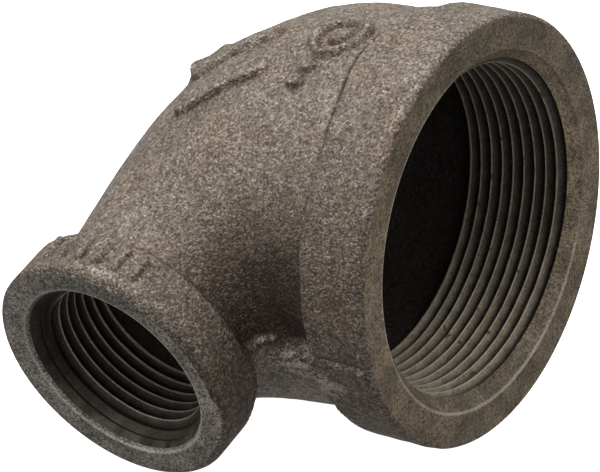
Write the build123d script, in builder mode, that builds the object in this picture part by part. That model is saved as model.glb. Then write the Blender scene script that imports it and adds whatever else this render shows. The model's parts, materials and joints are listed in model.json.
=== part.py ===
from build123d import *

# Reducing pipe elbow, 90 degrees, with a female taper pipe thread in each end.
#
# Frame: the origin is the centre of the large end's face and +X points out of that end. The elbow
# lies on its side on a floor, as it comes to rest when put down: the large band touches the floor
# along a line, and the rim of the small end touches it at a point. So the plane that holds both
# centre lines is tipped about X, and the small end points to -Y and a little down. +Z is up.

import os
from dataclasses import dataclass
from math import asin, atan2, cos, hypot, radians, sin, tan

os.makedirs("parts", exist_ok=True)

# ---------------------------------------------------------------- driving dimensions, millimetres

INCH = 25.4
PITCH = INCH / 11.5  # both sizes of thread have 11.5 threads to the inch
TAPER = 1 / 32  # the thread's radius shrinks by this much per unit of depth
HALF_FLANK = radians(30)  # half of the 60 degree thread form
ROOT_FLAT = 0.15  # flat at the bottom of a thread groove
TOOL_CLEARANCE = 0.6  # how far a groove's cutter starts inside the drilled hole
COUNTERSINK_SLOPE = 45  # degrees from the axis


@dataclass(frozen=True)
class End:
    """One threaded end of the elbow."""

    reach: float  # from the crossing of the two centre lines to this end's face
    turn: float  # direction of this end in the elbow's plane, in degrees
    band_radius: float  # outside of the raised band round the mouth
    band_width: float
    neck_radius: float  # outside of the body beside the band
    neck_length: float  # straight stretch of body behind the band, which runs into the bend
    bend_start: float  # from the face to the plane where the bend begins
    wall: float  # thickness of the cored body near this end
    drill_radius: float  # drilled hole, whose wall is left as the crests of the thread
    drill_depth: float  # from the face to the cored chamber
    root_radius: float  # bottom of the thread's groove, as if it reached the face
    mouth_radius: float  # countersink at the face
    grooves: int
    face_round: float  # outer edge of the face
    back_round: float  # back edge of the band


LARGE = End(
    reach=43.94,
    turn=0,
    band_radius=37.7,
    band_width=12.5,
    neck_radius=33.7,
    neck_length=2.0,
    bend_start=12.7,
    wall=4.4,
    drill_radius=28.18,
    drill_depth=22.5,
    root_radius=30.05,
    mouth_radius=31.5,
    grooves=9,
    face_round=0.5,
    back_round=1.0,
)

SMALL = End(
    reach=51.31,
    turn=-90,
    band_radius=22.9,
    band_width=9.75,
    neck_radius=19.4,
    neck_length=2.0,
    bend_start=9.9,
    wall=3.4,
    drill_radius=14.68,
    drill_depth=17.5,
    root_radius=16.61,
    mouth_radius=17.9,
    grooves=7,
    face_round=0.5,
    back_round=1.0,
)

COVE = 1.9  # hollow corner where a band's back meets the neck
FIRST_GROOVE = 1.25  # from the face to the middle of the outermost groove, in pitches

# The bend is a fan of round sections about one edge in the crotch, from the large neck to the small
# one. Each row is the section's turn in degrees, the distance from that edge to its centre, and its
# outside radius.
FAN_X = LARGE.reach - LARGE.bend_start
FAN_Y = SMALL.reach - SMALL.bend_start
SECTIONS = [
    (0, FAN_Y, LARGE.neck_radius),
    (22.5, 42.7, 34.6),
    (45, 39.0, 29.7),
    (67.5, 34.2, 22.7),
    (90, FAN_X, SMALL.neck_radius),
]

# ---------------------------------------------------------------- where things are


def rest_tilt():
    """Tip of the elbow about X, in radians, that lays the small end's rim on the floor."""
    rim_along = SMALL.reach - SMALL.face_round
    rim_out = SMALL.band_radius - SMALL.face_round
    height = LARGE.band_radius - SMALL.face_round
    return asin(height / hypot(rim_along, rim_out)) - atan2(rim_out, rim_along)


TILT = rest_tilt()

# The plane of both centre lines, with its origin where they cross: the large end is along its +x,
# the small end along its -y.
ELBOW = Plane(
    origin=(-LARGE.reach, 0, 0),
    x_dir=(1, 0, 0),
    z_dir=(0, -sin(TILT), cos(TILT)),
)


def lengthwise(end):
    """Plane through an end's axis: its origin is the centre of the face, its x points out."""
    turn = radians(end.turn)
    centre = (end.reach * cos(turn), end.reach * sin(turn), 0)
    return Plane(ELBOW * Location(centre, (0, 0, end.turn)))


def across(turn, distance):
    """Plane of one section of the bend, centred on the section: its x points away from the crotch."""
    angle = radians(turn)
    flat = Plane(
        origin=(FAN_X - distance * sin(angle), distance * cos(angle) - FAN_Y, 0),
        x_dir=(-sin(angle), cos(angle), 0),
        z_dir=(cos(angle), sin(angle), 0),
    )
    return Plane(ELBOW * flat)


def axis_of(end):
    """An end's centre line, pointing out of its mouth."""
    plane = lengthwise(end)
    return Axis(plane.origin, plane.x_dir)


# ---------------------------------------------------------------- outside of the casting


def bend(thinner_by_large, thinner_by_small):
    """The fan of round sections, all smaller by an amount that changes evenly round the bend.

    The half on one side of the centre lines' plane is lofted, and mirrored to the other side.
    """
    with BuildPart() as solid:
        for turn, distance, full_radius in SECTIONS:
            share = turn / SECTIONS[-1][0]
            radius = full_radius - thinner_by_large * (1 - share) - thinner_by_small * share
            with BuildSketch(across(turn, distance)):
                with BuildLine():
                    CenterArc((0, 0), radius, 0, 180)
                    Line((-radius, 0), (radius, 0))
                make_face()
        loft()
        mirror(about=ELBOW)
    return solid.part


def collar(end):
    """The raised band round a mouth, with the neck behind it, as a solid of revolution."""
    back = -end.band_width
    foot = back - end.neck_length
    with BuildPart() as solid:
        with BuildSketch(lengthwise(end)):
            with BuildLine():
                FilletPolyline(
                    (0, 0),
                    (0, end.band_radius),
                    (back, end.band_radius),
                    (back, end.neck_radius),
                    (foot, end.neck_radius),
                    (foot, 0),
                    radius=(end.face_round, end.back_round, COVE, 0),
                )
                Line((foot, 0), (0, 0))
            make_face()
        revolve(axis=axis_of(end))
    return solid.part


# ---------------------------------------------------------------- inside of the casting


def chamber():
    """The cored hollow of the bend, cut off square where the two drilled holes come in."""
    with BuildPart() as hollow:
        add(bend(LARGE.wall, SMALL.wall))
        for end in (LARGE, SMALL):
            face = lengthwise(end)
            stop = Plane(face.origin - face.x_dir * end.drill_depth, z_dir=face.x_dir)
            split(bisect_by=stop, keep=Keep.BOTTOM)
    return hollow.part


def drilled_hole(end):
    """The straight hole that the tap follows, with its countersunk mouth."""
    sink = (end.mouth_radius - end.drill_radius) / tan(radians(COUNTERSINK_SLOPE))
    with BuildPart() as hole:
        with BuildSketch(lengthwise(end)):
            with BuildLine():
                Polyline(
                    (-end.drill_depth, 0),
                    (-end.drill_depth, end.drill_radius),
                    (-sink, end.drill_radius),
                    (0, end.mouth_radius),
                    (0, 0),
                    close=True,
                )
            make_face()
        revolve(axis=axis_of(end))
    return hole.part


def thread_grooves(end):
    """Rings with the section of the thread's groove, one to a pitch, shrinking with the taper."""
    with BuildPart() as rings:
        for number in range(end.grooves):
            depth = (FIRST_GROOVE + number) * PITCH
            root = end.root_radius - depth * TAPER
            start = end.drill_radius - TOOL_CLEARANCE
            half_mouth = ROOT_FLAT / 2 + (root - start) * tan(HALF_FLANK)
            with BuildSketch(lengthwise(end)):
                with BuildLine():
                    Polyline(
                        (-depth - half_mouth, start),
                        (-depth - ROOT_FLAT / 2, root),
                        (-depth + ROOT_FLAT / 2, root),
                        (-depth + half_mouth, start),
                        close=True,
                    )
                make_face()
            revolve(axis=axis_of(end))
    return rings.part


# ---------------------------------------------------------------- the one piece

with BuildPart() as elbow_casting:
    add(bend(0, 0))
    add(collar(LARGE))
    add(collar(SMALL))
    add(chamber(), mode=Mode.SUBTRACT)
    add(drilled_hole(LARGE), mode=Mode.SUBTRACT)
    add(drilled_hole(SMALL), mode=Mode.SUBTRACT)
    add(thread_grooves(LARGE), mode=Mode.SUBTRACT)
    add(thread_grooves(SMALL), mode=Mode.SUBTRACT)

elbow_casting.part.label = "elbow_casting"
export_step(elbow_casting.part, "parts/elbow_casting.step")
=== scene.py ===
import json
import math
from dataclasses import dataclass

import bmesh
import bpy
import numpy as np
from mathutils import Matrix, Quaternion, Vector


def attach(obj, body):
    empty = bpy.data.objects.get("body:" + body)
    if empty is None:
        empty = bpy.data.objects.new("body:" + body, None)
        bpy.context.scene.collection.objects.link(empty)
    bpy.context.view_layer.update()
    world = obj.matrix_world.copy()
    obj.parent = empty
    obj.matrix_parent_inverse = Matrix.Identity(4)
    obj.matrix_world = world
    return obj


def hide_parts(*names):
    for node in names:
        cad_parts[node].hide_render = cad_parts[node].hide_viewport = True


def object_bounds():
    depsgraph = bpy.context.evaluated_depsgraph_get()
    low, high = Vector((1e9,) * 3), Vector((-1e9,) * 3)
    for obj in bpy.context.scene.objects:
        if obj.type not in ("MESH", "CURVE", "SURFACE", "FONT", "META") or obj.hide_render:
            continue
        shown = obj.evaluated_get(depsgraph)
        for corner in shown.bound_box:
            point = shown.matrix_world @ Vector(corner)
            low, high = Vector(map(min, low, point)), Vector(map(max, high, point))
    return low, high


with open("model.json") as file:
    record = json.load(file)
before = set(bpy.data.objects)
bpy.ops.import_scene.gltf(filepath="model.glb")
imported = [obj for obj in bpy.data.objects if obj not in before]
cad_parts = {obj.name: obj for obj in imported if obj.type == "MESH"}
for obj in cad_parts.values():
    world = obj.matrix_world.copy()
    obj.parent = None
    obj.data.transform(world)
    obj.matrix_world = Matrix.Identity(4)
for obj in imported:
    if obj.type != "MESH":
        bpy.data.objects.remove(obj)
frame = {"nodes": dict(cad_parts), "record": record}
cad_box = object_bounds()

# ---------------------------------------------------------------- sizes, in metres

MM = 0.001
PITCH = 0.0254 / 11.5  # both threads have 11.5 turns to the inch
TAPER = 1 / 32  # a thread's radius shrinks by this much per unit of depth
HALF_FLANK = math.radians(30)
ROOT_FLAT = 0.16 * MM
THREAD_HEIGHT = 1.62 * MM  # from the root to a fully formed crest
SEGMENTS = 192  # round a thread

CELL = 0.91 * MM  # size of the cells that the cast skin is rebuilt with
EVEN_LOSS = 0.08 * MM  # taken off the whole skin, as its bumps only add
ALLOWANCE = 1.5 * MM  # how far a band is cast past its face before that is ground flat
SHARP_ANGLE = math.radians(32)  # edges that turn by more than this are shaded as sharp

ON_AXIS = 1e-9  # least radius of a turned outline, so that every loop has all its points
JOINED, NO_LENGTH = 2e-7, 1e-7  # distances below which points meet, and edges have no length


@dataclass
class End:
    """One mouth of the elbow. Its axis points out and the face's centre is at pos."""

    pos: np.ndarray
    axis: np.ndarray
    drill: float  # radius of the drilled hole
    root: float  # radius of the thread's root at the face
    mouth: float  # radius of the countersink at the face
    band: float  # outside radius of the band
    band_width: float
    bend_start: float  # from the face to where the bend begins
    drill_depth: float
    sink: list  # countersink as (depth, radius), from the face inwards
    edge_round: float  # mean radius of the face's worn outer edge
    edge_swing: float  # how much more it is on one side than the mean
    edge_angle: float  # where it is largest, round the axis
    start_angle: float  # where the thread's groove begins, round the axis
    shaded_angle: float  # where the band's painted shade is darkest, on its side towards the crotch
    crotch_side_shade: tuple  # how much painted shade the band has on its lightest side, and on its side towards the crotch

    def frame(self):
        """Columns: two directions across the axis, then the axis."""
        return np.stack([ELBOW_NORMAL, np.cross(self.axis, ELBOW_NORMAL), self.axis], 1)

    def local(self, points):
        """Depth below the face, distance from the axis and angle round it, of many points."""
        q = (points - self.pos) @ self.frame()
        return -q[:, 2], np.hypot(q[:, 0], q[:, 1]), np.arctan2(q[:, 1], q[:, 0])

    def rounding(self, angle):
        """Radius of the face's outer edge at an angle: the face was ground a little askew."""
        return self.edge_round + self.edge_swing * np.cos(angle - self.edge_angle)

    def world(self, depth, radius, angle):
        q = np.stack([radius * np.cos(angle), radius * np.sin(angle), -depth], -1)
        return q @ self.frame().T + self.pos


def mount(name):
    """Place, direction and radius of one of the record's mounts."""
    found = next(m for m in frame["record"]["mounts"] if m["name"] == name)
    return np.array(found["pos_m"]), np.array(found["axis"]), found["dims"].get("r_mm", 0) * MM


large_pos, large_axis, _ = mount("large_face")
small_pos, small_axis, _ = mount("small_face")
CROSSING = large_pos - large_axis * ((large_pos - small_pos) @ large_axis)
ELBOW_NORMAL = np.cross(small_axis, large_axis)  # upwards, square to both centre lines
PLAN = np.stack([large_axis, -small_axis, ELBOW_NORMAL], 1)

LARGE = End(
    pos=large_pos,
    axis=large_axis,
    drill=mount("large_thread")[2],
    root=30.4 * MM,
    mouth=31.5 * MM,
    band=37.7 * MM,
    band_width=12.5 * MM,
    bend_start=12.7 * MM,
    drill_depth=22.5 * MM,
    sink=[(0, 31.5 * MM), (3.3 * MM, 28.2 * MM)],
    edge_round=0.85 * MM,
    edge_swing=0.25 * MM,
    edge_angle=math.radians(60),
    start_angle=-0.94,
    shaded_angle=math.radians(88),
    crotch_side_shade=(0.05, 0.5),
)
SMALL = End(
    pos=small_pos,
    axis=small_axis,
    drill=mount("small_thread")[2],
    root=16.61 * MM,
    mouth=17.9 * MM,
    band=22.9 * MM,
    band_width=9.75 * MM,
    bend_start=9.9 * MM,
    drill_depth=17.5 * MM,
    sink=[(0, 17.9 * MM), (0.7 * MM, 17.3 * MM), (1.5 * MM, 16.5 * MM), (3.9 * MM, 15.85 * MM)],
    edge_round=1.25 * MM,
    edge_swing=0.8 * MM,
    edge_angle=math.radians(-65),
    start_angle=2.1,
    shaded_angle=math.radians(-90),
    crotch_side_shade=(0.2, 0.66),
)
ENDS = (LARGE, SMALL)

# The edge in the crotch about which the bend fans round, in plan.
HINGE_X = np.linalg.norm(LARGE.pos - CROSSING) - LARGE.bend_start
HINGE_Y = -np.linalg.norm(SMALL.pos - CROSSING) + SMALL.bend_start


def to_plan(points):
    """Points in the elbow's own directions: along the large end, against the small end, and up."""
    return (points - CROSSING) @ PLAN


# ---------------------------------------------------------------- meshes


def new_object(name, points, faces):
    mesh = bpy.data.meshes.new(name)
    mesh.from_pydata([tuple(p) for p in points], [], [tuple(f) for f in faces])
    mesh.validate()
    thing = bpy.data.objects.new(name, mesh)
    bpy.context.scene.collection.objects.link(thing)
    return thing


def read(collection, key, width=1, kind=float):
    """One property of all of a mesh's vertices, edges or faces, as an array."""
    values = np.empty(len(collection) * width, kind)
    collection.foreach_get(key, values)
    return values.reshape(-1, width) if width > 1 else values


def points_of(mesh):
    return read(mesh.vertices, "co", 3)


def set_points(mesh, points):
    mesh.vertices.foreach_set("co", points.astype(np.float32).ravel())
    mesh.update()


def with_modifier(thing, kind, **settings):
    """Puts the result of one modifier in the object's mesh."""
    modifier = thing.modifiers.new(kind, kind)
    for key, value in settings.items():
        setattr(modifier, key, value)
    view = bpy.context.evaluated_depsgraph_get()
    mesh = bpy.data.meshes.new_from_object(thing.evaluated_get(view))
    thing.modifiers.clear()
    thing.data = mesh


def remove(thing):
    """Takes a tool that has been used out of the scene."""
    bpy.data.objects.remove(thing)


def combine(thing, tool, operation="DIFFERENCE"):
    """Cuts a tool from an object, or adds it, and removes the tool."""
    with_modifier(thing, "BOOLEAN", operation=operation, solver="MANIFOLD", object=tool)
    remove(tool)


def lathe(name, end, outline):
    """A closed solid about an end's axis. The outline is a loop of (depth, radius), or a function
    that gives the loop at an angle."""
    angles = np.arange(SEGMENTS) * 2 * math.pi / SEGMENTS
    loops = np.array([outline(a) if callable(outline) else outline for a in angles])
    count = loops.shape[1]
    points = end.world(
        loops[:, :, 0].ravel(), np.maximum(loops[:, :, 1], ON_AXIS).ravel(), np.repeat(angles, count)
    )
    faces = []
    for i in range(SEGMENTS):
        for k in range(count):
            j, m = (i + 1) % SEGMENTS, (k + 1) % count
            faces.append((i * count + k, i * count + m, j * count + m, j * count + k))
    thing = new_object(name, points, faces)
    tidy_mesh(thing)
    return thing


def tidy_mesh(thing):
    """Joins points that meet, closes open ends, and turns all faces outwards."""
    work = bmesh.new()
    work.from_mesh(thing.data)
    bmesh.ops.remove_doubles(work, verts=work.verts, dist=JOINED)
    bmesh.ops.dissolve_degenerate(work, dist=NO_LENGTH, edges=work.edges)
    loose = [v for v in work.verts if not v.link_faces]
    bmesh.ops.delete(work, geom=loose, context="VERTS")
    bmesh.ops.holes_fill(work, edges=[e for e in work.edges if e.is_boundary], sides=0)
    bmesh.ops.triangulate(work, faces=[f for f in work.faces if len(f.verts) > 4])
    bmesh.ops.recalc_face_normals(work, faces=work.faces)
    work.to_mesh(thing.data)
    work.free()


# ---------------------------------------------------------------- noise and masks


GRID_SHIFT = 1000  # keeps the numbers of the grid's cells above 0


def lattice(ix, iy, iz, seed):
    """A repeatable number from -1 to 1 for every corner of a grid."""
    mixed = (
        ix.astype(np.uint64) * np.uint64(73856093)
        ^ iy.astype(np.uint64) * np.uint64(19349663)
        ^ iz.astype(np.uint64) * np.uint64(83492791)
        ^ np.uint64(seed * 2654435761)
    )
    mixed = (mixed ^ (mixed >> np.uint64(13))) * np.uint64(1274126177)
    mixed = (mixed ^ (mixed >> np.uint64(16))) & np.uint64(0xFFFFFF)
    return mixed.astype(np.float64) / 0x7FFFFF - 1


def noise(points, size, seed):
    """Smooth noise from -1 to 1 with lumps of about the given size. Each seed gives another one."""
    grid = points / size + GRID_SHIFT
    cell = np.floor(grid)
    part = grid - cell
    ease = part * part * (3 - 2 * part)
    cell = cell.astype(np.int64)
    total = np.zeros(len(points))
    for corner in np.ndindex(2, 2, 2):
        weight = np.prod(np.where(corner, ease, 1 - ease), 1)
        at = cell + corner
        total += weight * lattice(at[:, 0], at[:, 1], at[:, 2], seed)
    return total


def rough(points, size, seed, octaves=3):
    """Noise of several sizes added up, each half as large and half as strong as the one before."""
    total = np.zeros(len(points))
    for k in range(octaves):
        total += noise(points, size / 2**k, seed + k) / 2**k
    return total


def ramp(value, low, high):
    """0 below low, 1 above high, smooth between. low may be above high."""
    t = np.clip((value - low) / (high - low), 0, 1)
    return t * t * (3 - 2 * t)


def hump(value, middle, half):
    """1 at the middle, falling smoothly to 0 at the given distance from it."""
    return ramp(np.abs(value - middle), half, 0)


# ---------------------------------------------------------------- raised marks on the casting

SLOPE = 0.34 * MM  # width of a mark's sloping side
MARKS_FROM = 15 * MM  # height above the parting plane from which the marks are on top of the bend


@dataclass
class Bar:
    """A plain raised bar with round ends, on top of the bend, between two places in plan."""

    start: tuple
    stop: tuple
    half_width: float
    height: float
    slope: float = SLOPE

    def outside(self, plan):
        """Distance outside the bar's outline, less than 0 within it."""
        a, b = np.array(self.start), np.array(self.stop)
        share = np.clip((plan[:, :2] - a) @ (b - a) / ((b - a) @ (b - a)), 0, 1)
        near = a + share[:, None] * (b - a)
        return np.linalg.norm(plan[:, :2] - near, axis=1) - self.half_width


@dataclass
class Ring:
    """A plain raised ring, or a disc where the inner radius is 0."""

    centre: tuple
    inner: float
    outer: float
    height: float
    slope: float = SLOPE

    def outside(self, plan):
        away = np.linalg.norm(plan[:, :2] - np.array(self.centre), axis=1)
        middle, half = (self.inner + self.outer) / 2, (self.outer - self.inner) / 2
        return np.abs(away - middle) - half if self.inner else away - self.outer


# Plain marks on top of the bend: two bars and a short one, a ring with a disc in it, and two dots.
MARKS = [
    Bar((-2.5 * MM, -13.2 * MM), (10.4 * MM, -6.6 * MM), 1.7 * MM, 1.1 * MM),
    Bar((-5.6 * MM, -3.6 * MM), (7.0 * MM, 3.0 * MM), 1.7 * MM, 1.1 * MM),
    Bar((-7.2 * MM, -2.6 * MM), (-4.6 * MM, 2.6 * MM), 1.6 * MM, 1.3 * MM, 1.5 * MM),
    Ring((21.8 * MM, 2.6 * MM), 4.2 * MM, 5.4 * MM, 1.1 * MM),
    Ring((21.8 * MM, 2.6 * MM), 0, 1.9 * MM, 1.1 * MM),
    Ring((20.0 * MM, -5.2 * MM), 0, 1.2 * MM, 1.1 * MM),
    Ring((19.3 * MM, -8.6 * MM), 0, 1.2 * MM, 1.1 * MM),
]

# The flash line: half its width, and how far to each side of it the mesh is refined.
SEAM_HALF, SEAM_REFINED = 0.9 * MM, 1.5 * MM

# Level of the ledge in the crotch above the parting plane, against the distance along the elbow.
LEDGE_ALONG = (18 * MM, 23.2 * MM, 24.6 * MM, 27 * MM, 31 * MM)
LEDGE_LEVEL = (1.2 * MM, 0.9 * MM, -2.0 * MM, -3.5 * MM, 0.8 * MM)

# Beads of extra metal along the broken flash: centre in plan, half sizes and height, in millimetres.
LUMPS = [
    ((20.0, -38.2, 0.3), (1.6, 2.4, 1.3), 0.9),
    ((21.3, -36.4, 1.1), (1.7, 1.6, 0.9), 0.8),
    ((23.0, -35.3, 1.1), (1.5, 1.5, 0.8), 0.7),
    ((42.0, -37.7, 0.4), (0.9, 1.5, 0.8), 0.5),
]

TORN = ((30.0, -35.5, -5.0), (12.5, 6.0, 7.5))  # centre and half sizes of the torn patch

# The mesh is refined for the torn metal from SCAR_X on, and within SCAR_Y and SCAR_Z, in plan. The
# large band's front is below FRONT_Y.
SCAR_X, SCAR_Y, SCAR_Z = 18.5 * MM, (-44 * MM, -30 * MM), (-10 * MM, 3 * MM)
FRONT_Y = -30 * MM

# Short raised dashes along the top of the small band.
DASHES = 6
DASH_START, DASH_STEP = math.radians(-23), math.radians(9.2)  # from the top, round the band
DASH_HALF_WIDTH = 0.6 * MM
DASH_DEPTHS = (3.4 * MM, 7.2 * MM)
DASH_HEIGHT = 0.8 * MM


def dashes(points):
    """Distance outside the nearest dash on the small band."""
    depth, radius, angle = SMALL.local(points)
    number = np.clip(np.round((angle - DASH_START) / DASH_STEP), 0, DASHES - 1)
    across = radius * (angle - DASH_START - number * DASH_STEP)
    beyond = np.maximum(DASH_DEPTHS[0] - depth, depth - DASH_DEPTHS[1])
    outside = np.hypot(np.maximum(beyond, 0), across) - DASH_HALF_WIDTH
    outside = outside + 0.15 * MM * noise(points, 1.5 * MM, 47)
    return np.where(radius > SMALL.band - 0.8 * MM, outside, 1)


# ---------------------------------------------------------------- the casting

# Extra metal behind the large band, which leaves only a low uneven step there on the top and the
# front. Angles are round that end, from the top.
FILL_ANGLE, FILL_FROM, FILL_TO = math.radians(8), math.radians(66), math.radians(94)
FILL_STEP, FILL_LENGTH = 1.25 * MM, 21 * MM
SET_BACK, SET_BACK_ANGLE, SET_BACK_HALF = 2.0 * MM, math.radians(2), math.radians(38)
STEP_HALF = math.radians(60)  # how far round, to each side, the step's line is deeper and has darker painted shade
BURIED = 31.9 * MM  # radius that is inside the metal all round the neck


def step_depth(angle):
    """Where the low step behind the large band is: farther back on top, and nowhere quite even."""
    around = LARGE.world(np.zeros_like(angle), np.full_like(angle, LARGE.band), angle)
    uneven = 0.3 * MM * rough(around, 6 * MM, 71)
    return LARGE.band_width + SET_BACK * hump(angle, SET_BACK_ANGLE, SET_BACK_HALF) + uneven


def neck_fill():
    steps = 8

    def outline(angle):
        angle = math.remainder(angle, 2 * math.pi)
        amount = float(ramp(abs(angle - FILL_ANGLE), FILL_TO, FILL_FROM))
        line = float(step_depth(np.array([angle]))[0])
        start = LARGE.band_width - MM
        flush = BURIED + amount * (LARGE.band - 0.1 * MM - BURIED)
        low = BURIED + amount * (LARGE.band - FILL_STEP - BURIED)
        back = line + MM + amount * FILL_LENGTH
        loop = [(start, BURIED - MM), (start, flush), (line - 0.3 * MM, flush)]
        for k in range(steps + 1):
            share = k / steps
            fall = 0.5 + 0.5 * math.cos(math.pi * share)
            loop.append((line + 0.3 * MM + share * (back - line), BURIED + (low - BURIED) * fall))
        return loop + [(back + 0.3 * MM, BURIED - MM)]

    return lathe("fill", LARGE, outline)


def outside_of_large(radius):
    """True on the large band and the metal behind it, and not in the bore."""
    return radius > LARGE.band - 3 * MM


def step_groove(points):
    """A shallow dark line along the step, deepest on top."""
    depth, radius, angle = LARGE.local(points)
    on_top = 0.45 + 0.55 * hump(angle, SET_BACK_ANGLE, STEP_HALF)
    line = hump(depth, step_depth(angle) + 0.3 * MM, 0.75 * MM)
    groove = 0.65 * MM * on_top * line * (0.7 + 0.8 * noise(points, 2.4 * MM, 77))
    return np.where(outside_of_large(radius), groove, 0)


def band_sleeves(end):
    """What is added to the CAD solid before the remesh: metal for the thread, and past the face."""
    inner, buried = end.drill - 1.6 * MM, end.root + 1.3 * MM
    start = 3 * MM
    thread = [(start, inner), (start, buried), (end.drill_depth, buried), (end.drill_depth, inner)]
    top, bottom = -ALLOWANCE, 4 * MM
    past = [(top, inner), (top, end.band), (bottom, end.band), (bottom, inner)]
    return [lathe("sleeve", end, thread), lathe("sleeve", end, past)]


def cast_skin():
    """The CAD casting rebuilt in even cells, with its threads filled in."""
    cad = frame["nodes"]["elbow_casting"]
    skin = bpy.data.objects.new("elbow", cad.data.copy())
    bpy.context.scene.collection.objects.link(skin)
    skin.data.materials.clear()
    tidy_mesh(skin)
    for end in ENDS:
        for sleeve in band_sleeves(end):
            combine(skin, sleeve, "UNION")
    combine(skin, neck_fill(), "UNION")
    with_modifier(skin, "REMESH", mode="VOXEL", voxel_size=CELL, adaptivity=0)
    with_modifier(skin, "SMOOTH", factor=0.5, iterations=1)
    return skin


def refine(skin, wanted, cuts):
    """Splits the quads whose centres pass a test, for detail finer than a cell."""
    for _ in range(cuts):
        mesh = skin.data
        chosen = wanted(read(mesh.polygons, "center", 3), read(mesh.polygons, "normal", 3))
        work = bmesh.new()
        work.from_mesh(mesh)
        work.faces.ensure_lookup_table()
        edges = {e for i in np.nonzero(chosen)[0] for e in work.faces[i].edges}
        bmesh.ops.subdivide_edges(work, edges=list(edges), cuts=1, use_grid_fill=True)
        work.to_mesh(mesh)
        work.free()


def near_mark(points, normals):
    """True near the raised marks, the dashes and the step behind the large band."""
    plan = to_plan(points)
    outside = np.min([mark.outside(plan) for mark in MARKS], 0)
    on_top = (plan[:, 2] > MARKS_FROM) & (normals @ ELBOW_NORMAL > 0.1)
    margin = 2 * SLOPE
    depth, radius, angle = LARGE.local(points)
    step = (np.abs(depth - step_depth(angle)) < 1.2 * MM) & outside_of_large(radius)
    step &= np.abs(angle - SET_BACK_ANGLE) < FILL_TO
    return (on_top & (outside < margin)) | (dashes(points) < margin) | step


def on_parting_line(points, normals):
    """True along the flash line on the outside of the bend."""
    plan = to_plan(points)
    outward = outside_of_bend(plan, normals)
    return outward & (np.abs(plan[:, 2]) < SEAM_REFINED) & (plan[:, 0] < HINGE_X + 2 * MM)


def outside_of_bend(plan, normals):
    """True on the outside of the body, and not in the bore, for points near the parting plane."""
    flat = normals @ PLAN
    turn = np.arctan2(HINGE_X - plan[:, 0], plan[:, 1] - HINGE_Y)
    turn = np.clip(turn, 0, math.pi / 2)
    away = np.hypot(HINGE_X - plan[:, 0], plan[:, 1] - HINGE_Y)
    back = away > 30 * MM
    facing = -np.sin(turn) * flat[:, 0] + np.cos(turn) * flat[:, 1]
    return np.where(back, facing > 0.3, facing < -0.3)


def seam_rise(plan, normals):
    """The flash line that was ground off where the two halves of the mould met."""
    outward = outside_of_bend(plan, normals)
    away = np.hypot(plan[:, 0] - HINGE_X, plan[:, 1] - HINGE_Y)
    in_crotch = ramp(away, 22 * MM, 12 * MM) * ramp(plan[:, 0], HINGE_X + 2 * MM, HINGE_X)
    in_crotch *= ramp(plan[:, 1], HINGE_Y - 2 * MM, HINGE_Y)
    wander = 0.5 + 0.5 * noise(plan, 5 * MM, 61)
    line = hump(plan[:, 2], 0, SEAM_HALF) * (0.05 + 0.2 * wander)
    edge = np.interp(plan[:, 0], LEDGE_ALONG, LEDGE_LEVEL)
    level = plan[:, 2] - edge - 0.35 * MM * rough(plan, 2.5 * MM, 62)
    ledge = ramp(level, 0.35 * MM, -0.35 * MM) * ramp(level, -15 * MM, -2 * MM)
    return np.where(outward, line, 0) * MM + in_crotch * ledge * (0.5 + 0.5 * wander) * MM


def inside_lump(plan, centre, stretch):
    """1 deep within an egg-shaped region, falling to 0 at its edge. Sizes are in millimetres."""
    away = np.linalg.norm((plan - np.array(centre) * MM) / (np.array(stretch) * MM), axis=1)
    return ramp(away, 1, 0.2)


def streaks(plan):
    """Noise with flattened, slanting lumps, for torn metal."""
    slanted = np.stack([plan[:, 0] + plan[:, 2], plan[:, 1], 2.5 * plan[:, 2]], 1)
    return rough(slanted, 2.6 * MM, 91)


def crotch_scar(plan):
    """Torn metal where the flash broke off in the crotch, and its line across the large band."""
    rise = np.zeros(len(plan))
    for centre, stretch, height in LUMPS:
        rise += height * MM * inside_lump(plan, centre, stretch)
    torn = inside_lump(plan, *TORN)
    rise += torn * 0.35 * MM * streaks(plan)
    on_front = (plan[:, 1] < FRONT_Y) & (plan[:, 0] > HINGE_X - 2 * MM)
    level = plan[:, 2] - 1.1 * MM - 0.3 * MM * rough(plan, 3 * MM, 94)
    crack = -0.35 * MM * hump(level, 0.2 * MM, 0.5 * MM) * ramp(noise(plan, 4 * MM, 95), -0.8, 0.3)
    below = ramp(level, 0.1 * MM, -0.4 * MM) * ramp(level, -9 * MM, -1 * MM)
    return rise + np.where(on_front, crack + below * 0.22 * MM, 0)


def near_scar(points, normals):
    """True where the crotch's metal is torn."""
    plan = to_plan(points)
    beside = (plan[:, 0] > SCAR_X) & (plan[:, 1] > SCAR_Y[0]) & (plan[:, 1] < SCAR_Y[1])
    return beside & (plan[:, 2] > SCAR_Z[0]) & (plan[:, 2] < SCAR_Z[1])


# Unevenness that sand leaves: height and size of the swells, of the grit, and of wavy outlines.
SWELL, SWELL_SIZE = 0.10 * MM, 9 * MM
GRIT, GRIT_SIZE = 0.05 * MM, 2.2 * MM
WOBBLE, WOBBLE_SIZE = 0.16 * MM, 1.8 * MM


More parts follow.
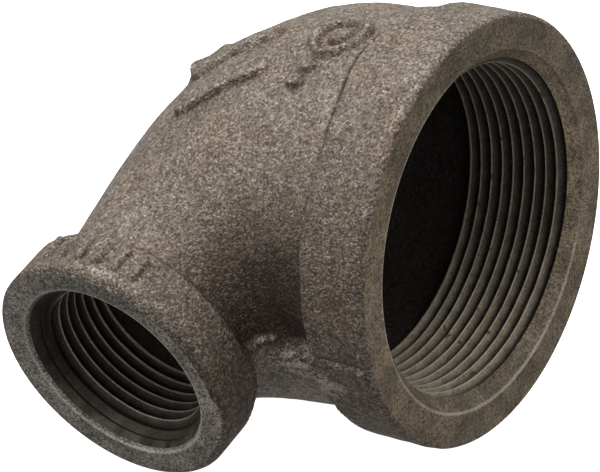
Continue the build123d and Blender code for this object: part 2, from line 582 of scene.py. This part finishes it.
def shape_skin(skin):
    """Moves the skin's points for the marks, the parting line and the unevenness of sand."""
    refine(skin, near_mark, 2)
    refine(skin, on_parting_line, 1)
    refine(skin, near_scar, 1)
    mesh = skin.data
    points = points_of(mesh)
    normals = read(mesh.vertex_normals, "vector", 3)
    plan = to_plan(points)
    on_top = (plan[:, 2] > MARKS_FROM) & (normals @ ELBOW_NORMAL > 0.1)
    wobble = WOBBLE * rough(points, WOBBLE_SIZE, 41, 2)
    rise = SWELL * rough(points, SWELL_SIZE, 11) + GRIT * rough(points, GRIT_SIZE, 23)
    for mark in MARKS:
        body = ramp(mark.outside(plan) + wobble, mark.slope, -mark.slope)
        rise += np.where(on_top, mark.height * body, 0)
    rise += DASH_HEIGHT * ramp(dashes(points) + wobble, SLOPE, -SLOPE)
    rise += seam_rise(plan, normals) + crotch_scar(plan)
    rise -= step_groove(points)
    moved = points + normals * (rise - EVEN_LOSS)[:, None]
    set_points(mesh, np.clip(moved, np.array(cad_box[0]), np.array(cad_box[1])))


SPARE_TURNS = 3  # turns of the screw past each end, before it is cut to length
WIDEST = 0.48  # half the width of a groove at most, in pitches
GROOVE_UNEVEN = 0.06  # how much of its width a groove gains and loses along the thread


def tap(end):
    """The solid that a tap removes: a tapered screw, right through to the chamber."""
    top, bottom = -ALLOWANCE - MM, end.drill_depth + 0.3 * MM
    turns = np.arange(-SPARE_TURNS, int(end.drill_depth / PITCH) + SPARE_TURNS)
    share = np.arange(SEGMENTS) / SEGMENTS
    middle = (turns[None, :] + share[:, None]) * PITCH
    root = end.root - middle * TAPER
    crest = np.maximum(end.drill, root - THREAD_HEIGHT)
    half = ROOT_FLAT / 2
    place = end.world(middle.ravel(), root.ravel(), np.repeat(-share * 2 * math.pi, len(turns)))
    uneven = rough(place, 3 * MM, 55).reshape(middle.shape)
    wide = half + (root - crest) * math.tan(HALF_FLANK) * (1 + GROOVE_UNEVEN * uneven)
    wide = np.minimum(wide, WIDEST * PITCH)
    across = [middle - wide, middle - half, middle + half, middle + wide, middle + PITCH / 2]
    marks = len(across)
    depth = np.stack(across, -1).reshape(SEGMENTS, -1)
    radius = np.stack([crest, root, root, crest, crest], -1).reshape(SEGMENTS, -1)
    for row in range(SEGMENTS):
        low, high = np.interp([top, bottom], depth[row], radius[row])
        radius[row][depth[row] < top] = low
        radius[row][depth[row] > bottom] = high
    depth = np.clip(depth, top, bottom)
    rows = depth.shape[1]
    angles = end.start_angle - share * 2 * math.pi
    points = end.world(depth.ravel(), radius.ravel(), np.repeat(angles, rows))
    faces = []
    for i in range(SEGMENTS):
        last = i + 1 == SEGMENTS
        for k in range(rows - 1 - marks * last):
            a = i * rows + k
            c = k + marks if last else a + rows
            faces.append((a, a + 1, c + 1, c))
    tool = new_object("tap", points, faces)
    tidy_mesh(tool)
    return tool


def facing(end):
    """What is ground off to make a flat face with a rounded outer edge."""
    steps = 5
    above, beyond = -2 * ALLOWANCE, end.band + 3 * MM

    def outline(around):
        size = end.rounding(around)
        loop = [(above, 0), (0, 0)]
        for k in range(steps + 1):
            angle = k / steps * math.pi / 2
            depth = size * (1 - math.cos(angle))
            loop.append((depth, end.band - size * (1 - math.sin(angle))))
        return loop + [(size, beyond), (above, beyond)]

    return lathe("facing", end, outline)


def countersink(end):
    """The widening of the mouth, with a little room above the face."""
    above = -2 * ALLOWANCE
    wide = (above, end.sink[0][1] - above)
    return lathe("countersink", end, [(above, 0), wide, *end.sink, (end.sink[-1][0], 0)])


def build_elbow():
    skin = cast_skin()
    shape_skin(skin)
    for end in ENDS:
        combine(skin, facing(end))
        combine(skin, tap(end))
        combine(skin, countersink(end))
    return skin


# ---------------------------------------------------------------- surfaces of the casting

# Kinds of surface. Each is the number of its material.
SKIN, CORED, LARGE_FACE, SMALL_FACE, LARGE_THREAD, SMALL_THREAD = range(6)


def sort_faces(mesh):
    """Gives each face of the mesh its kind of surface, as its material number."""
    centres, normals = read(mesh.polygons, "center", 3), read(mesh.polygons, "normal", 3)
    kind = np.full(len(centres), SKIN)
    slack = 0.02 * MM
    for end, face, thread in (
        (LARGE, LARGE_FACE, LARGE_THREAD),
        (SMALL, SMALL_FACE, SMALL_THREAD),
    ):
        depth, radius, _ = end.local(centres)
        bored = (depth < end.drill_depth + slack) & (radius < end.root + slack)
        threaded = bored & (radius > end.drill - 0.3 * MM)
        flat = (np.abs(depth) < slack) & (normals @ end.axis > 0.99)
        sink_depths, sink_radii = zip(*end.sink)
        sunk = np.abs(radius - np.interp(depth, sink_depths, sink_radii)) < 2 * slack
        sunk &= (depth > 0) & (depth < sink_depths[-1])
        kind[threaded | sunk] = thread
        kind[flat | (sunk & (depth < sink_depths[1]))] = face
    return kind


def spread_cored(mesh, kind):
    """Marks the skin faces of the chamber, which touch the outside only through cut surfaces."""
    work = bmesh.new()
    work.from_mesh(mesh)
    work.faces.ensure_lookup_table()
    seen = kind != SKIN
    groups = []
    for first in range(len(kind)):
        if seen[first]:
            continue
        group, queue = [], [first]
        seen[first] = True
        while queue:
            at = queue.pop()
            group.append(at)
            for edge in work.faces[at].edges:
                for other in edge.link_faces:
                    if not seen[other.index]:
                        seen[other.index] = True
                        queue.append(other.index)
        groups.append(group)
    work.free()
    groups.sort(key=len)
    for group in groups[:-1]:
        kind[group] = CORED


def curvature(mesh, rounds):
    """How far each point stands out from the mean of its surroundings, in metres."""
    points = points_of(mesh)
    normals = read(mesh.vertex_normals, "vector", 3)
    edges = read(mesh.edges, "vertices", 2, np.int32)
    count = len(points)
    ends = np.concatenate([edges[:, 0], edges[:, 1]])
    others = np.concatenate([edges[:, 1], edges[:, 0]])
    degree = np.maximum(np.bincount(ends, minlength=count), 1)
    level = points.copy()
    for _ in range(rounds):
        sums = np.stack([np.bincount(ends, level[others, k], count) for k in range(3)], 1)
        level = (level + sums / degree[:, None]) / 2
    return np.sum((points - level) * normals, 1)


def add_mask(mesh, name, values):
    """Stores a number from 0 to 1 for each point, which the materials read by its name."""
    mask = mesh.attributes.new(name, "FLOAT", "POINT")
    mask.data.foreach_set("value", np.clip(values, 0, 1).astype(np.float32))


# How far a point stands out from its surroundings where wear, and soot with painted shade in hollows,
# begins and is full.
WORN_FROM, WORN_TO = 0.10 * MM, 0.30 * MM
HOLLOW_SHADE_FROM, HOLLOW_SHADE_TO = -0.09 * MM, -0.28 * MM

SHADOW_ASIDE = 0.6 * MM  # how far the painted shadow beside a dash is from its middle
BAND_EDGE_HALF = 0.65 * MM  # half the width of the worn line round a band's outer edge
SHADED_HALF = math.radians(90)  # to each side of where a band's painted shade is darkest, how far it reaches


def crotch_soot_and_shade(plan):
    """Soot and painted shade in the crotch, above the parting plane."""
    away = np.hypot(plan[:, 0] - HINGE_X, plan[:, 1] - HINGE_Y)
    crotch = ramp(away, 32 * MM, 9 * MM) * ramp(plan[:, 2], -1.5 * MM, 1.5 * MM)
    return crotch * ramp(plan[:, 2], 32 * MM, 12 * MM)


def mark_masks(points, plan):
    """Painted shade beside the marks and along the step, a painted shadow beside each dash, and how
    rubbed the tops of the marks are.
    """
    marks = np.min([mark.outside(plan) for mark in MARKS], 0)
    marks = np.where(plan[:, 2] > MARKS_FROM, marks, 1)
    on_dash = dashes(points)
    beside = dashes(points + SHADOW_ASIDE * SMALL.frame()[:, 1])
    # Painted shade round the foot of each mark, and a painted shadow on one side of each dash.
    mark_shade = 0.85 * hump(marks, 0.35 * MM, 0.55 * MM)
    mark_shade = np.maximum(mark_shade, ramp(beside, 0.2 * MM, -0.3 * MM) * ramp(on_dash, -0.1 * MM, 0.25 * MM))
    mark_shade *= ramp(noise(points, 2 * MM, 87), -1.2, 0.4)
    # Painted shade along the step behind the large band, darkest on top.
    depth, radius, angle = LARGE.local(points)
    step = hump(depth, step_depth(angle) + 0.4 * MM, 0.7 * MM)
    step *= 0.5 + 0.5 * hump(angle, SET_BACK_ANGLE, STEP_HALF)
    step *= ramp(rough(points, 3 * MM, 98), -1.5, 0.0)
    mark_shade = np.maximum(mark_shade, np.where(outside_of_large(radius), 1.1 * step, 0))
    rubbed = np.maximum(hump(marks, -0.45 * MM, 0.5 * MM), hump(on_dash, -0.5 * MM, 0.6 * MM))
    return mark_shade, 0.9 * rubbed * ramp(noise(points, 3 * MM, 88), -0.3, 0.5)


def band_masks(end, points):
    """Where an end's band is, how worn its outer edge is there, and how much painted shade it has."""
    depth, radius, angle = end.local(points)
    on_band = (depth < end.band_width + 0.2 * MM) & (radius > end.band - 1.2 * MM)
    on_band &= radius < end.band + 2 * MM
    edge = hump(depth, end.rounding(angle), BAND_EDGE_HALF)
    patchy = ramp(rough(points, 5 * MM, 81), -0.3, 0.6)
    # Painted shade over the band, darkest on its side towards the crotch, between the two ends.
    least, most = end.crotch_side_shade
    crotch_side_shade = least + (most - least) * hump(angle, end.shaded_angle, SHADED_HALF)
    return on_band, edge * patchy, crotch_side_shade


def bore_masks(end, points):
    """Where an end's bore is, how near a thread's crest each point of it is, and how much painted
    light it has.
    """
    depth, radius, _ = end.local(points)
    root = end.root - depth * TAPER
    low = np.maximum(end.drill, root - THREAD_HEIGHT)
    inside = (depth > 0) & (depth < end.drill_depth + MM) & (radius < end.root)
    height = np.clip(1 - (radius - low) / (root - low), 0, 1)
    sunk = np.abs(radius - np.interp(depth, *zip(*end.sink))) < 0.1 * MM
    sunk &= (depth > 0.3 * MM) & (depth < end.sink[-1][0] + 0.1 * MM)
    sunk_height = 0.24 + 0.3 * rough(points, 2.0 * MM, 97)
    height = np.where(sunk, np.maximum(height, sunk_height), height)
    near_mouth = ramp(depth, 5 * MM, 3 * MM)
    # Painted light: the flanks are lighter towards the bottom of the bore, which faces up into the
    # light.
    downwards = -(points - end.pos)[:, 2] / end.root
    return inside | sunk, height ** (1 - 0.6 * near_mouth), ramp(downwards, 0.1, 0.95)


def add_masks(mesh):
    """Worn places, with painted light on torn metal, soot with painted shade, how near a thread's
    crest each point is, and painted light on the lower side of each bore.
    """
    points = points_of(mesh)
    plan = to_plan(points)
    stands_out = curvature(mesh, rounds=12)
    wear = 0.6 * ramp(stands_out, WORN_FROM, WORN_TO)
    # Soot and painted shade in hollows, where a point lies below its surroundings.
    soot = 0.8 * ramp(stands_out, HOLLOW_SHADE_FROM, HOLLOW_SHADE_TO)
    soot = np.maximum(soot, crotch_soot_and_shade(plan))
    for centre, stretch, _ in LUMPS:
        inside = inside_lump(plan, centre, stretch)
        wear = np.maximum(wear, 1.3 * inside)
        soot *= 1 - 0.8 * inside
    torn = inside_lump(plan, *TORN)
    # Less soot and painted shade on the torn metal.
    soot *= 1 - 0.6 * torn
    mark_shade, rubbed = mark_masks(points, plan)
    wear = np.maximum(wear, rubbed)
    crest, dust = np.zeros(len(points)), np.zeros(len(points))
    for end in ENDS:
        on_band, worn_edge, crotch_side_shade = band_masks(end, points)
        wear = np.where(on_band, np.maximum(0.3 * wear, worn_edge), wear)
        soot = np.where(on_band, np.maximum(0.35 * soot, crotch_side_shade * (1 - 0.7 * torn)), soot)
        inside, near_crest, floor_lit = bore_masks(end, points)
        crest = np.where(inside, near_crest, crest)
        dust = np.where(inside, floor_lit, dust)
    # Torn metal is lighter: partly bare metal, and partly painted light in the shade under the ledge.
    wear = np.maximum(wear, torn * (0.65 + 1.4 * ramp(streaks(plan), -0.5, 0.5)))
    add_mask(mesh, "wear", wear)
    add_mask(mesh, "soot", np.maximum(soot, 0.8 * mark_shade))
    add_mask(mesh, "crest", crest)
    add_mask(mesh, "dust", dust)


# ---------------------------------------------------------------- materials


class Paint:
    """A procedural material, built up one node at a time in the object's own coordinates."""

    def __init__(self, name):
        self.material = bpy.data.materials.new(name)
        self.material.use_nodes = True
        self.tree = self.material.node_tree
        self.shader = self.tree.nodes["Principled BSDF"]
        self.where = self.add("TexCoord").outputs["Object"]

    def add(self, kind, inputs=None, **settings):
        node = self.tree.nodes.new("ShaderNode" + kind)
        for key, value in settings.items():
            setattr(node, key, value)
        for key, value in (inputs or {}).items():
            self.put(node.inputs[key], value)
        return node

    def put(self, socket, value):
        if isinstance(value, bpy.types.NodeSocket):
            self.tree.links.new(value, socket)
        else:
            socket.default_value = value

    def noise(self, size, detail=2.0, roughness=0.5, seed=0.0):
        """Noise from 0 to 1 with lumps of about the given size in metres. Each seed gives another."""
        inputs = {
            "Vector": self.where,
            "W": seed,
            "Scale": 1 / size,
            "Detail": detail,
            "Roughness": roughness,
        }
        return self.add("TexNoise", inputs, noise_dimensions="4D").outputs["Fac"]

    def grains(self, size):
        """Round grains of about the given size: height of each, from 0 to 1, and a number for each."""
        inputs = {"Vector": self.where, "Scale": 1 / size}
        cells = self.add("TexVoronoi", inputs)
        split = self.add("SeparateXYZ", {0: cells.outputs["Color"]})
        return self.ramp(cells.outputs["Distance"], 0.75, 0.05), split.outputs["X"]

    def mask(self, name):
        return self.add("Attribute", attribute_name=name).outputs["Fac"]

    def math(self, operation, a, b=0.0, c=0.0):
        return self.add("Math", {0: a, 1: b, 2: c}, operation=operation).outputs[0]

    def ramp(self, value, low, high, bottom=0.0, top=1.0):
        """bottom where the value is low, top where it is high, and smooth between."""
        inputs = {"Value": value, 1: low, 2: high, 3: bottom, 4: top}
        node = self.add("MapRange", inputs, interpolation_type="SMOOTHSTEP")
        return node.outputs["Result"]

    def mix(self, share, a, b, blend="MIX"):
        """Colours a and b mixed, where share is how much of b there is."""
        node = self.add("Mix", data_type="RGBA", blend_type=blend)
        for socket, value in ((0, share), (6, a), (7, b)):
            self.put(node.inputs[socket], value)
        return node.outputs[2]

    def shade(self, colour, factor):
        """A colour times a number."""
        node = self.add("VectorMath", {0: colour, "Scale": factor}, operation="SCALE")
        return node.outputs[0]

    def radius(self, end):
        """Distance from an end's axis."""
        away = self.add("VectorMath", {0: self.where, 1: tuple(end.pos)}, operation="SUBTRACT")
        sideways = self.add(
            "VectorMath", {0: away.outputs[0], 1: tuple(end.axis)}, operation="CROSS_PRODUCT"
        )
        length = self.add("VectorMath", {0: sideways.outputs[0]}, operation="LENGTH")
        return length.outputs["Value"]

    def line_noise(self, value, size):
        """Noise along one number, such as a radius."""
        inputs = {"W": value, "Scale": 1 / size, "Detail": 2.0}
        return self.add("TexNoise", inputs, noise_dimensions="1D").outputs["Fac"]

    def bump(self, height, depth, strength=1.0, below=None):
        inputs = {"Height": height, "Distance": depth, "Strength": strength}
        if below is not None:
            inputs["Normal"] = below
        return self.add("Bump", inputs).outputs["Normal"]

    def finish(self, colour, roughness, normal, metallic, specular):
        self.put(self.shader.inputs["Base Color"], colour)
        self.put(self.shader.inputs["Roughness"], roughness)
        self.put(self.shader.inputs["Normal"], normal)
        self.put(self.shader.inputs["Metallic"], metallic)
        self.put(self.shader.inputs["Specular IOR Level"], specular)
        return self.material


LIGHT_GRAIN = (0.385, 0.325, 0.268, 1)
DARK_GRAIN = (0.098, 0.072, 0.052, 1)
REDDISH = (1.02, 0.96, 0.90, 1)
SOOT_AND_SHADE = (0.022, 0.011, 0.005, 1)
BARE = (0.52, 0.475, 0.41, 1)
PIT = (0.040, 0.030, 0.022, 1)
RUST = (0.10, 0.042, 0.017, 1)
ROOT_GRIME_AND_SHADE = (0.020, 0.017, 0.013, 1)
FLANK = (0.074, 0.062, 0.047, 1)
LIT_FLANK = (0.225, 0.192, 0.142, 1)
CREST = (0.40, 0.35, 0.28, 1)
LARGE_FACE_DARK = (0.058, 0.041, 0.025, 1)
LARGE_FACE_LIGHT = (0.245, 0.192, 0.123, 1)
SMALL_FACE_DARK = (0.030, 0.025, 0.020, 1)
SMALL_FACE_LIGHT = (0.350, 0.312, 0.266, 1)


def sand_cast(name, tone, flecks_and_glints):
    """Oxidised iron with the skin that a sand mould leaves: grains, pits, scale and worn edges.

    tone is how light it is, and the last argument how strong the bright specks in it are, which are
    bare flecks and painted glints.
    """
    paint = Paint(name)
    # Light and dark grains, with reddish and lighter areas.
    dome, which = paint.grains(0.38 * MM)
    fine = paint.noise(0.50 * MM, 3.0, 0.7, 1.0)
    grain = paint.math("MULTIPLY_ADD", which, 0.30, paint.math("MULTIPLY", fine, 0.70))
    colour = paint.mix(paint.ramp(grain, 0.30, 0.72), DARK_GRAIN, LIGHT_GRAIN)
    red = paint.ramp(paint.noise(8 * MM, 1.0, 0.5, 3.0), 0.48, 0.66)
    colour = paint.mix(red, colour, REDDISH, "MULTIPLY")
    cloud = paint.ramp(paint.noise(4 * MM, 3.0, 0.6, 5.0), 0.3, 0.7, 0.80 * tone, 1.14 * tone)
    colour = paint.shade(colour, cloud)
    # Pits, bare metal on worn places with painted light on torn metal, bright specks that are partly
    # painted glints, and soot with painted shade over them all.
    coarse = paint.ramp(paint.noise(13 * MM, 2.0, 0.5, 8.0), 0.36, 0.62)
    pits = paint.ramp(paint.noise(0.62 * MM, 2.0, 0.6, 12.0), 0.41, 0.30, 0.0, 0.8)
    colour = paint.mix(pits, colour, PIT)
    worn_and_lit = paint.math("ADD", paint.mask("wear"), paint.ramp(grain, 0.2, 0.8, -0.5, 0.5))
    worn_and_lit = paint.ramp(worn_and_lit, 0.45, 1.1, 0.0, 0.75)
    colour = paint.mix(worn_and_lit, colour, BARE)
    # Bright specks: bare flecks, and painted glints.
    fleck_and_glint = paint.ramp(which, 0.89, 0.96, 0.0, flecks_and_glints)
    fleck_and_glint = paint.math("MULTIPLY", fleck_and_glint, paint.ramp(fine, 0.42, 0.58))
    colour = paint.mix(fleck_and_glint, colour, BARE)
    soot = paint.math("MULTIPLY", paint.mask("soot"), paint.ramp(grain, 0.35, 0.75, 1.0, 0.80))
    colour = paint.mix(soot, colour, SOOT_AND_SHADE)
    # Relief of lumps and grains, and how dull it is.
    lumps = paint.bump(paint.noise(1.4 * MM, 2.0, 0.5, 30.0), 0.42 * MM, 0.8)
    height = paint.math("MULTIPLY_ADD", dome, which, paint.math("MULTIPLY", fine, 1.2))
    height = paint.math("SUBTRACT", height, paint.math("MULTIPLY", pits, 0.5))
    normal = paint.bump(height, 0.23 * MM, paint.ramp(coarse, 0.0, 1.0, 0.7, 1.0), lumps)
    roughness = paint.ramp(paint.noise(1.1 * MM, 2.0, 0.5, 40.0), 0.3, 0.7, 0.42, 0.66)
    roughness = paint.math("MULTIPLY_ADD", soot, 0.28, roughness)
    return paint.finish(colour, roughness, normal, 0.25, 0.4)


def ground_face(name, end, dark, light, roughly, rim_share):
    """The flat face and the mouth of the countersink: finer, with faint rings and patches of scale.

    The face is darker at its top and bottom. The countersink's edge is rubbed bright, most at the
    lower front. Its slope has painted light at the upper back and painted shade elsewhere. roughly is
    how rough the patches are, and rim_share how bright the rubbed edge is.
    """
    paint = Paint(name)
    # Fine grains in blotches, darker at the top and the bottom of the face.
    dome, which = paint.grains(0.34 * MM)
    fine = paint.noise(0.42 * MM, 3.0, 0.7, 6.0)
    grain = paint.math("MULTIPLY_ADD", which, 0.20, paint.math("MULTIPLY", fine, 0.80))
    colour = paint.mix(paint.ramp(grain, 0.32, 0.68), dark, light)
    blotch = paint.ramp(paint.noise(6 * MM, 3.0, 0.6, 2.0), 0.38, 0.62, 0.70, 1.20)
    colour = paint.shade(colour, blotch)
    place = paint.add("SeparateXYZ", {0: paint.where})
    height_up = place.outputs["Z"]
    top = end.pos[2] + end.mouth
    colour = paint.shade(colour, paint.ramp(height_up, top - 20 * MM, top, 1.12, 0.82))
    low, middle = end.pos[2] - 1.15 * end.mouth, end.pos[2] - 0.3 * end.mouth
    colour = paint.shade(colour, paint.ramp(height_up, low, middle, 0.84, 1.0))
    # The bright edge of the countersink, and painted light and shade on its slope.
    radius = paint.radius(end)
    off_rim = paint.math("ABSOLUTE", paint.math("SUBTRACT", radius, end.mouth))
    rim = paint.ramp(off_rim, 0.40 * MM, 0.05 * MM, 0.0, rim_share)
    rim = paint.math("MULTIPLY", rim, paint.ramp(grain, 0.25, 0.65, 0.5, 1.0))
    up_and_back = paint.math("ADD", height_up, place.outputs["Y"])
    rim = paint.math("MULTIPLY", rim, paint.ramp(up_and_back, 8 * MM, 30 * MM, 1.0, 0.12))
    colour = paint.mix(rim, colour, BARE)
    # Painted shade going into the countersink, and painted light instead at its upper back.
    slope_light_and_shade = paint.ramp(up_and_back, 5 * MM, 28 * MM, 0.8, 1.35)
    sunk = paint.ramp(radius, end.mouth, end.mouth - 0.8 * MM, 1.0, slope_light_and_shade)
    colour = paint.shade(colour, sunk)
    # Pits, and a relief of grains in patches over faint rings.
    pits = paint.ramp(paint.noise(0.8 * MM, 2.0, 0.6, 15.0), 0.36, 0.28, 0.0, 0.6)
    colour = paint.mix(pits, colour, PIT)
    rings = paint.line_noise(radius, 0.22 * MM)
    patch = paint.ramp(paint.noise(9 * MM, 2.0, 0.5, 9.0), 0.42, 0.60, 0.5 * roughly, roughly)
    height = paint.math("MULTIPLY_ADD", dome, which, fine)
    normal = paint.bump(height, 0.20 * MM, patch, paint.bump(rings, 0.05 * MM, 0.5))
    roughness = paint.ramp(paint.noise(2 * MM, 2.0, 0.5, 14.0), 0.3, 0.7, 0.44, 0.64)
    return paint.finish(colour, roughness, normal, 0.3, 0.45)


def tapped(name, tone, rusty):
    """The thread: dark in the roots with grime and painted shade, painted lighter along the lower side
    of the bore, rubbed bright along the crests, with a few rust spots.

    tone is how light it is, and rusty how strong the rust spots are.
    """
    paint = Paint(name)
    crest, dust = paint.mask("crest"), paint.mask("dust")
    cloud = paint.ramp(paint.noise(2.4 * MM, 3.0, 0.6, 4.0), 0.3, 0.7, 0.72 * tone, 1.22 * tone)
    grain = paint.noise(0.34 * MM, 3.0, 0.6, 7.0)
    # The flanks are painted lighter on the lower side of the bore, where the light falls on them.
    flank = paint.mix(paint.math("MULTIPLY", dust, tone), FLANK, LIT_FLANK)
    # Grime and painted shade darken the roots.
    colour = paint.mix(paint.ramp(crest, 0.05, 0.85), ROOT_GRIME_AND_SHADE, flank)
    colour = paint.shade(colour, cloud)
    colour = paint.shade(colour, paint.ramp(grain, 0.28, 0.72, 0.65, 1.35))
    rubbed = paint.ramp(grain, 0.25, 0.6, 0.25, 0.9)
    bright = paint.math("MULTIPLY", paint.ramp(crest, 0.88, 0.99), rubbed)
    colour = paint.mix(bright, colour, CREST)
    rust = paint.ramp(paint.noise(2.4 * MM, 2.0, 0.6, 17.0), 0.64, 0.70, 0.0, rusty)
    colour = paint.mix(rust, colour, RUST)
    lumps = paint.bump(paint.noise(0.9 * MM, 2.0, 0.5, 33.0), 0.22 * MM, 0.7)
    normal = paint.bump(grain, 0.20 * MM, 0.8, lumps)
    roughness = paint.ramp(crest, 0.5, 1.0, 0.62, 0.42)
    return paint.finish(colour, roughness, normal, 0.35, 0.3)


# ---------------------------------------------------------------- the one piece

elbow = build_elbow()
elbow.name = "elbow"
kinds = sort_faces(elbow.data)
spread_cored(elbow.data, kinds)
add_masks(elbow.data)
elbow.data.materials.clear()
for finish in (
    sand_cast("sand_cast_iron", 0.84, 0.65),
    # The chamber's skin is the same cast iron, painted nearly black for the shade inside the chamber.
    sand_cast("cored_iron", 0.11, 0.0),
    ground_face("large_face_iron", LARGE, LARGE_FACE_DARK, LARGE_FACE_LIGHT, 0.7, 0.55),
    ground_face("small_face_iron", SMALL, SMALL_FACE_DARK, SMALL_FACE_LIGHT, 1.4, 0.6),
    tapped("large_thread_iron", 1.0, 0.9),
    tapped("small_thread_iron", 0.5, 0.0),
):
    elbow.data.materials.append(finish)
elbow.data.polygons.foreach_set("material_index", kinds.astype(np.int32))
elbow.data.polygons.foreach_set("use_smooth", np.ones(len(kinds), bool))
elbow.data.set_sharp_from_angle(angle=SHARP_ANGLE)
elbow.data.update()
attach(elbow, "root")
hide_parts("elbow_casting")

# ---------------------------------------------------------------- stage, light and camera

VIEW_TARGET = Vector((-0.03878, -0.00089, -0.00852))
VIEW_AZIMUTH = 36.77
VIEW_ELEVATION = 23.78
VIEW_ROLL = -3.27
VIEW_DISTANCE = 0.565
LENS = 192  # focal length in millimetres
SENSOR_WIDTH = 36
NEAR_CLIP, FAR_CLIP = 0.01, 10

SKY_FROM, SKY_TO = -0.1, 0.9  # heights on the dome between which it brightens
SKY_LOW, SKY_HIGH = 0.38, 0.93
LIGHT_DISTANCE = 0.9
LIGHTS = [  # name, azimuth, elevation, diameter in metres, power in watts
    ("key", -25, 60, 0.25, 5),
    ("mouth", 125, 52, 0.5, 2.6),
]
FLOOR_HALF = 3.0
FLOOR_COLOUR = (0.93, 0.93, 0.93, 1)


def direction(azimuth, elevation):
    a, e = math.radians(azimuth), math.radians(elevation)
    return Vector((math.sin(a) * math.cos(e), -math.cos(a) * math.cos(e), math.sin(e)))


def make_camera():
    data = bpy.data.cameras.new("camera")
    data.lens = LENS
    data.sensor_width = SENSOR_WIDTH
    data.sensor_fit = "HORIZONTAL"
    data.clip_start, data.clip_end = NEAR_CLIP, FAR_CLIP
    camera = bpy.data.objects.new("camera", data)
    bpy.context.scene.collection.objects.link(camera)
    back = direction(VIEW_AZIMUTH, VIEW_ELEVATION)
    camera.location = VIEW_TARGET + back * VIEW_DISTANCE
    camera.rotation_mode = "QUATERNION"
    roll = Quaternion((0, 0, 1), math.radians(VIEW_ROLL))
    camera.rotation_quaternion = (-back).to_track_quat("-Z", "Y") @ roll
    bpy.context.scene.camera = camera


def area_light(name, azimuth, elevation, size, power):
    data = bpy.data.lights.new(name, "AREA")
    data.shape = "DISK"
    data.size = size
    data.energy = power
    light = bpy.data.objects.new(name, data)
    bpy.context.scene.collection.objects.link(light)
    away = direction(azimuth, elevation)
    light.location = VIEW_TARGET + away * LIGHT_DISTANCE
    light.rotation_mode = "QUATERNION"
    light.rotation_quaternion = (-away).to_track_quat("-Z", "Y")


def make_floor():
    floor_z = cad_box[0].z
    corners = [(-1, -1), (1, -1), (1, 1), (-1, 1)]
    points = [(x * FLOOR_HALF, y * FLOOR_HALF, floor_z) for x, y in corners]
    floor = new_object("floor", points, [(0, 1, 2, 3)])
    material = bpy.data.materials.new("floor")
    material.use_nodes = True
    shader = material.node_tree.nodes["Principled BSDF"]
    shader.inputs["Base Color"].default_value = FLOOR_COLOUR
    shader.inputs["Roughness"].default_value = 0.9
    shader.inputs["Emission Color"].default_value = (1, 1, 1, 1)
    shader.inputs["Emission Strength"].default_value = 1.0
    floor.data.materials.append(material)
    # The floor glows white, so no shadow shows on it. It throws no light on the object, and lets
    # the sky's light from below through.
    floor.visible_diffuse = False
    floor.visible_glossy = False
    floor.visible_shadow = False


def make_sky():
    """A soft white dome, brightest overhead, with little light from below."""
    world = bpy.data.worlds.new("world")
    bpy.context.scene.world = world
    world.use_nodes = True
    nodes, links = world.node_tree.nodes, world.node_tree.links
    way = nodes.new("ShaderNodeTexCoord").outputs["Generated"]
    split = nodes.new("ShaderNodeSeparateXYZ")
    links.new(way, split.inputs[0])
    fade = nodes.new("ShaderNodeMapRange")
    for socket, value in ((1, SKY_FROM), (2, SKY_TO), (3, SKY_LOW), (4, SKY_HIGH)):
        fade.inputs[socket].default_value = value
    links.new(split.outputs["Z"], fade.inputs[0])
    background = nodes["Background"]
    background.inputs["Color"].default_value = (1, 1, 1, 1)
    links.new(fade.outputs[0], background.inputs["Strength"])


bpy.context.scene.view_settings.view_transform = "Standard"
make_camera()
make_floor()
make_sky()
for light in LIGHTS:
    area_light(*light)
